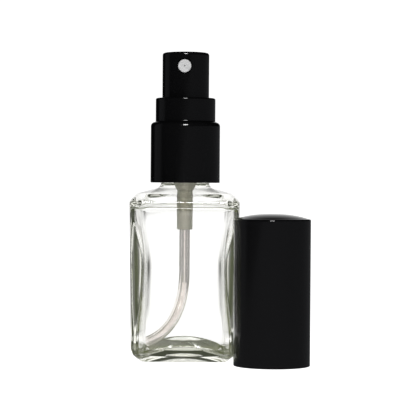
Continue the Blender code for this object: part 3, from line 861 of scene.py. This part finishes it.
INSERT_RADIUS = 1.88
INSERT_BORE = 1.3
INSERT_FRONT = 6.68         # distances of its faces from the button's axis
INSERT_FACE = 5.93
INSERT_BACK = 4.58
ORIFICE = 0.12
DIMPLE = 0.3                # radius and depth of the orifice's funnel


def make_insert(finish):
    insert = lathe("nozzle_face", rounded([
        (ORIFICE, INSERT_FRONT - DIMPLE, 0.03), (DIMPLE, INSERT_FRONT, 0.05),
        (INSERT_RADIUS, INSERT_FRONT, 0.2), (INSERT_RADIUS, INSERT_BACK, 0.08),
        (INSERT_BORE, INSERT_BACK, 0.08), (INSERT_BORE, INSERT_FACE, 0.1), (ORIFICE, INSERT_FACE, 0.03),
    ]), SMALL)
    insert.matrix_world = nozzle_place()
    dress(insert, finish, "actuator", "nozzle_insert")


# ------------------------------------------------------ pump, tube, springs

FLANGE_RADIUS = 7.4
FLANGE_HEIGHT = 0.8
BARREL_RADIUS = 4.5
BARREL_BORE = 3.2
TURRET_SEAT = (3.9, 65.6)   # radius and height of the counterbore that takes the turret
CHAMBER_FLOOR = 54.4
CAGE_RADIUS = 2.42
CAGE_BORE = 1.6
SEAT_TOP = 52.2             # the ball's conical seat
SEAT_BOTTOM = 51.0
TAIL_TOP = 49.2
TAIL_RADII = (2.33, 2.22)   # at its top and bottom
TAIL_BORE = 1.8
INLET_RADIUS = 0.8


def make_housing(finish):
    low, high = span("pump_housing")
    flange, top = high.z - FLANGE_HEIGHT, high.z
    corners = [
        (TURRET_SEAT[0], top, 0.05), (FLANGE_RADIUS, top, 0.15), (FLANGE_RADIUS, flange, 0.15),
        (BARREL_RADIUS, flange, 0.2), (BARREL_RADIUS, CHAMBER_FLOOR + 0.2, 0.5),
        (CAGE_RADIUS, CHAMBER_FLOOR - 1.8, 0.4), (CAGE_RADIUS, TAIL_TOP + 0.1, 0.05),
        (TAIL_RADII[0], TAIL_TOP - 0.3, 0.1), (TAIL_RADII[1], low.z, 0.12), (TAIL_BORE, low.z, 0.1),
        (TAIL_BORE, TAIL_TOP, 0.05), (INLET_RADIUS, TAIL_TOP, 0.05), (INLET_RADIUS, SEAT_BOTTOM, 0.05),
        (CAGE_BORE, SEAT_TOP, 0.1), (CAGE_BORE, CHAMBER_FLOOR, 0.05), (BARREL_BORE, CHAMBER_FLOOR, 0.1),
        (BARREL_BORE, TURRET_SEAT[1], 0.05), (*TURRET_SEAT, 0.05),
    ]
    housing = lathe("housing_body", rounded(corners), SMALL)
    dress(housing, finish, "pump", "pump_housing")


TUBE_TOP = 48.9
TUBE_RADIUS = 1.5
TUBE_BORE = 0.8
TUBE_BEND_Z = 26.0
TUBE_BEND_LENGTH = 26.0
TUBE_BEND_ANGLE = math.radians(78)
TUBE_BEND_POWER = 1.5       # above 1, the bend tightens towards the tip
TUBE_HEADING = math.radians(210)
STRAIGHT_STEPS = 12
SPRING_STEPS = 36           # points to a turn of a spring
BEND_STEPS = 48


def tube_path():
    """The dip tube's centre line: straight down, then a bend that tightens to the front left corner."""
    points = []
    for i in range(STRAIGHT_STEPS + 1):
        z = TUBE_TOP + (TUBE_BEND_Z - TUBE_TOP) * i / STRAIGHT_STEPS
        points.append(Vector((0.0, 0.0, z)))
    sideways = Vector((math.cos(TUBE_HEADING), math.sin(TUBE_HEADING), 0.0))
    point = points[-1].copy()
    step = TUBE_BEND_LENGTH / BEND_STEPS
    for i in range(BEND_STEPS):
        angle = TUBE_BEND_ANGLE * ((i + 0.5) / BEND_STEPS) ** TUBE_BEND_POWER
        down = Vector((0.0, 0.0, step * math.cos(angle)))
        point += sideways * (step * math.sin(angle)) - down
        points.append(point.copy())
    return points


def make_tube(finish):
    path = tube_path()
    bm = bmesh.new()
    outside = sweep_rings(bm, path, TUBE_RADIUS, TUBE_FACETS)
    bore = sweep_rings(bm, path, TUBE_BORE, TUBE_FACETS)
    loft(bm, outside + bore[::-1], closed=True)
    dress(make_object("dip_tube_wall", bm), finish, "pump", "dip_tube")


def make_spring(name, node, body, finish, wire, mean_radius, coils):
    """A coil that fills its CAD node's height."""
    low, high = span(node)
    rise = high.z - low.z - wire
    points = helix(mean_radius, low.z + wire / 2, rise / coils, 0.0, coils, SPRING_STEPS)
    spring = make_object(name, sweep_mesh(points, wire / 2, WIRE_FACETS))
    dress(spring, finish, body, node)
    return spring


def make_springs(finish):
    """The return spring and the valve spring, each with a mesh of its own."""
    spring = make_spring("return_coil", "return_spring", "pump", finish,
                         wire=0.4, mean_radius=2.35, coils=5.5)
    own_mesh(spring)
    spring = make_spring("valve_coil", "valve_spring", "stem", finish,
                         wire=0.35, mean_radius=2.15, coils=3.5)
    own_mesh(spring)


# -------------------------------------------------------------- studio, view

FOCAL = 160.0
SENSOR = 36.0
CAMERA_PLACE = (0.00435, -0.515, 0.0510)
CAMERA_PITCH = math.radians(-0.58)
CAMERA_ROLL = math.radians(0.4)


def make_camera():
    data = bpy.data.cameras.new("camera")
    data.sensor_width = SENSOR
    data.lens = FOCAL
    camera = bpy.data.objects.new("camera", data)
    bpy.context.scene.collection.objects.link(camera)
    camera.location = CAMERA_PLACE
    camera.rotation_euler = (math.pi / 2 + CAMERA_PITCH, 0.0, 0.0)
    camera.rotation_euler.rotate_axis("Z", CAMERA_ROLL)
    bpy.context.scene.camera = camera
    return camera


PANEL = 1.12                # brightness of the panel behind the object
DARK_ROOM = (0.0, 0.0, 0.0)
ROOM_WINDOW = (0.085, 0.087, 0.092)
ROOM_THROUGH_GLASS = (0.13, 0.14, 0.07)


def make_world():
    """A bright panel behind the object as seen from the camera, in a dark room with one faint window.

    A direction's x is to the camera's right, y up and z ahead. Rays that leave the glass see a wider
    panel than rays that a surface mirrors."""
    world = bpy.data.worlds.new("studio")
    world.use_nodes = True
    bpy.context.scene.world = world
    nodes = Nodes(world.node_tree)
    where = nodes.add("ShaderNodeTexCoord")
    unit = nodes.add("ShaderNodeVectorMath", operation="NORMALIZE")
    nodes.link(where.outputs["Camera"], unit.inputs[0])
    x, y, z = nodes.split(unit.outputs["Vector"])
    aside = nodes.math("ABSOLUTE", x)
    path = nodes.add("ShaderNodeLightPath")
    through = path.outputs["Is Transmission Ray"]
    mirrored = nodes.math("SUBTRACT", 1.0, through)

    wide = nodes.math("MULTIPLY", nodes.ramp(aside, 1.0, 0.0, start=0.25, end=0.50),
                      nodes.ramp(y, 1.0, 0.0, start=0.05, end=0.20))
    narrow = nodes.math("MULTIPLY", nodes.ramp(aside, 1.0, 0.0, start=0.12, end=0.36),
                        nodes.ramp(y, 1.0, 0.0, start=0.05, end=0.60))
    panel = nodes.math("ADD", nodes.math("MULTIPLY", wide, through),
                       nodes.math("MULTIPLY", narrow, mirrored))
    panel = nodes.math("MAXIMUM", panel, path.outputs["Is Camera Ray"])
    panel = nodes.math("MULTIPLY", nodes.ramp(z, 0.0, 1.0, start=0.15, end=0.40), panel)

    lean = nodes.math("MULTIPLY", nodes.math("ADD", y, 0.024), 12.0)
    lit_side = nodes.ramp(nodes.math("SUBTRACT", x, lean), 0.0, 1.0, start=-0.62, end=-0.50)
    window = nodes.math("MULTIPLY", nodes.ramp(z, 0.0, 1.0, start=-0.15, end=0.05),
                        nodes.ramp(x, 1.0, 0.0, start=-0.9, end=-0.8))
    shades = nodes.mix(nodes.math("ADD", lit_side, window), DARK_ROOM, ROOM_WINDOW)
    room = nodes.mix(through, shades, ROOM_THROUGH_GLASS)
    colour = nodes.mix(panel, room, (PANEL, PANEL, PANEL))
    nodes.link(colour, world.node_tree.nodes["Background"].inputs["Color"])


FLOOR_SIZE = 3000.0         # half width, millimetres
FLOOR_DROP = 0.0001         # metres, so that it doesn't touch the object
FLOOR_WHITE = (0.9, 0.9, 0.9)
# colour of the painted shade on the table
FLOOR_SHADE = (0.05, 0.055, 0.03)
FLOOR_GLOW = 1.15
FLOOR_DIM = 0.12            # least light from the table through the glass, as a share


def make_floor():
    """A white table with painted shade. Through the glass it is painted darker sideways and towards the
    camera, with a painted shadow near the bottle and under it.
    """
    bm = bmesh.new()
    bmesh.ops.create_grid(bm, x_segments=1, y_segments=1, size=FLOOR_SIZE)
    floor = make_object("floor", bm)
    floor.location.z = -FLOOR_DROP
    floor.visible_glossy = False
    made, shader, nodes = principled("floor_white", FLOOR_WHITE, 0.9)
    place = nodes.add("ShaderNodeTexCoord")
    x, y, _ = nodes.split(place.outputs["Object"])
    camera_x, _, depth = nodes.split(place.outputs["Camera"])
    surface = nodes.add("ShaderNodeNewGeometry")
    slope = nodes.split(surface.outputs["Incoming"])[2]

    # painted shadow under the bottle's footprint, a painted contact shadow in a ring round it, and painted
    # shade where the table is seen steeply, behind or beside through the glass
    across = nodes.math("MAXIMUM", nodes.math("ABSOLUTE", x), nodes.math("ABSOLUTE", y))
    footprint_shadow = nodes.ramp(across, 0.80, 1.0, start=0.0120, end=0.0130)
    front = nodes.ramp(depth, 1.0, 0.0, start=0.522, end=0.526)
    contact_shadow = nodes.math("MAXIMUM", nodes.ramp(across, 0.0, 1.0, start=0.0160, end=0.0175), front)
    steep = nodes.math("MAXIMUM", nodes.ramp(slope, 1.0, FLOOR_DIM, start=0.68, end=0.90), front)
    behind = nodes.ramp(depth, 0.75, 1.0, start=0.48, end=0.53)
    beside = nodes.ramp(nodes.math("ABSOLUTE", camera_x), 1.0, FLOOR_DIM, start=0.06, end=0.16)
    through = nodes.math("MULTIPLY", nodes.math("MULTIPLY", contact_shadow, steep),
                         nodes.math("MULTIPLY", behind, beside))
    path = nodes.add("ShaderNodeLightPath")
    shade = nodes.math("MAXIMUM", through, path.outputs["Is Camera Ray"])
    lit = nodes.math("MULTIPLY", footprint_shadow, shade)
    nodes.link(nodes.mix(lit, FLOOR_SHADE, FLOOR_WHITE), shader.inputs["Base Color"])
    shader.inputs["Emission Color"].default_value = (1.0, 1.0, 1.0, 1.0)
    nodes.link(nodes.math("MULTIPLY", lit, FLOOR_GLOW), shader.inputs["Emission Strength"])

    clear = nodes.add("ShaderNodeBsdfTransparent")
    choose = nodes.add("ShaderNodeMixShader")           # the table can't be seen from below
    nodes.link(surface.outputs["Backfacing"], choose.inputs["Fac"])
    nodes.link(shader.outputs["BSDF"], choose.inputs[1])
    nodes.link(clear.outputs["BSDF"], choose.inputs[2])
    nodes.link(choose.outputs["Shader"], made.node_tree.nodes["Material Output"].inputs["Surface"])
    floor.data.materials.append(made)


LAMP_OFFSET = (0.0, 0.22, -0.02)    # metres, in the camera's axes
LAMP_SIZE = 0.12
LAMP_POWER = 1.6


def make_lamp(camera):
    """A soft square lamp that keeps its place above the camera and faces the object."""
    data = bpy.data.lights.new("key", "AREA")
    data.energy = LAMP_POWER
    data.size = LAMP_SIZE
    lamp = bpy.data.objects.new("key", data)
    bpy.context.scene.collection.objects.link(lamp)
    lamp.parent = camera
    lamp.location = LAMP_OFFSET
    target = Vector((0.0, 0.0, CAMERA_PLACE[1]))
    lamp.rotation_euler = (target - Vector(LAMP_OFFSET)).to_track_quat("-Z", "Y").to_euler()


def build():
    scene = bpy.context.scene
    scene.view_settings.view_transform = "Standard"
    scene.cycles.max_bounces = LIGHT_BOUNCES
    scene.cycles.transmission_bounces = LIGHT_BOUNCES

    black = gloss_black("gloss_black", tone=0.004, roughness=0.08)
    pale = textured_pale()
    # the glow of both plastics is painted light
    milky = translucent("milky_plastic", (0.85, 0.84, 0.72), transmission=0.7, roughness=0.45,
                        cloud=260.0, glow=0.04)
    tube_clear = translucent("tube_plastic", (0.95, 0.91, 0.89), transmission=0.93, roughness=0.03,
                             cloud=300.0, glow=0.07)
    white = moulded("natural_white_plastic", (0.80, 0.80, 0.77), roughness=0.42)
    rubber = moulded("grey_rubber", (0.06, 0.06, 0.06), roughness=0.75)
    steel = drawn_steel()

    make_bottle(clear_glass())
    make_liquid(clear_liquid())
    make_closure(black)
    make_overcap(gloss_black("cap_black", tone=0.005, roughness=0.07))
    make_actuator(black)
    make_insert(pale)
    make_housing(milky)
    make_tube(tube_clear)
    make_springs(steel)
    for node, finish in (("stem_retainer", white), ("stem", white), ("piston", pale),
                         ("stem_seal", rubber), ("neck_gasket", rubber), ("check_ball", steel)):
        paint(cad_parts[node].data, finish)

    make_world()
    make_floor()
    make_lamp(make_camera())


build()
